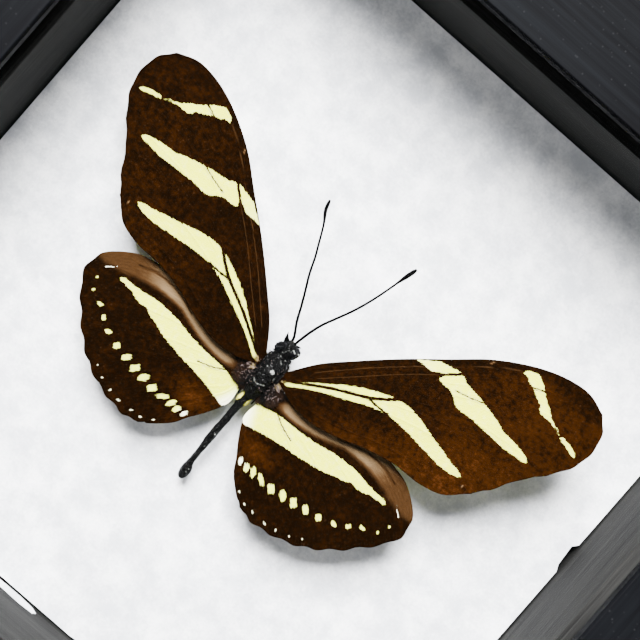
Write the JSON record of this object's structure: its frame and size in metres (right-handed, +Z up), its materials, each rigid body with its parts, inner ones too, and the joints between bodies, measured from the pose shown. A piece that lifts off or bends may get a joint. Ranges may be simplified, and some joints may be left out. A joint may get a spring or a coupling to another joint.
{
  "type": "framed butterfly specimen",
  "caption": "Square glazed shadow-box case in black wood holding a spread zebra longwing butterfly over a white backing sheet, for display.",
  "frame": {"origin": "middle of the case's underside, which is its back when it hangs", "axes": "+Z up through the glass, +Y to the side of the case that the butterfly's head points to, +X to the butterfly's right wings as seen through the glass"},
  "size_m": [0.1396, 0.1396, 0.0322],
  "materials": {
    "case_wood": "black satin paint",
    "liner_wood": "black stain, open grain",
    "tab_steel": "plain",
    "back_board": "plain hardboard",
    "foam": "fine cells",
    "sheet": "matt",
    "pane": "clear",
    "wing_scales": "brown-black scales with lemon-yellow bands",
    "body_cuticle": "black scales with pale dots",
    "eye": "faceted dark dome",
    "limb_cuticle": "black",
    "tongue": "dark brown",
    "post": "white"
  },
  "bodies": {
    "root": {"rail_top": "case_wood", "rail_left": "case_wood", "rail_bottom": "case_wood", "rail_right": "case_wood", "liner_top": "liner_wood", "liner_left": "liner_wood", "liner_bottom": "liner_wood", "liner_right": "liner_wood", "tab_top": "tab_steel", "tab_left": "tab_steel", "tab_bottom": "tab_steel", "tab_right": "tab_steel", "case_back": "back_board", "foam_board": "foam", "backing_sheet": "sheet", "glass_pane": "pane", "forewing_left": "wing_scales", "forewing_right": "wing_scales", "hindwing_left": "wing_scales", "hindwing_right": "wing_scales", "thorax": "body_cuticle", "head": "body_cuticle", "abdomen": "body_cuticle", "eye_left": "eye", "eye_right": "eye", "antenna_left": "limb_cuticle", "antenna_right": "limb_cuticle", "palp_left": "limb_cuticle", "palp_right": "limb_cuticle", "proboscis": "tongue", "leg_fore_left": "limb_cuticle", "leg_fore_right": "limb_cuticle", "leg_mid_left": "limb_cuticle", "leg_mid_right": "limb_cuticle", "leg_hind_left": "limb_cuticle", "leg_hind_right": "limb_cuticle", "mount_post": "post"}
  },
  "joints": []
}
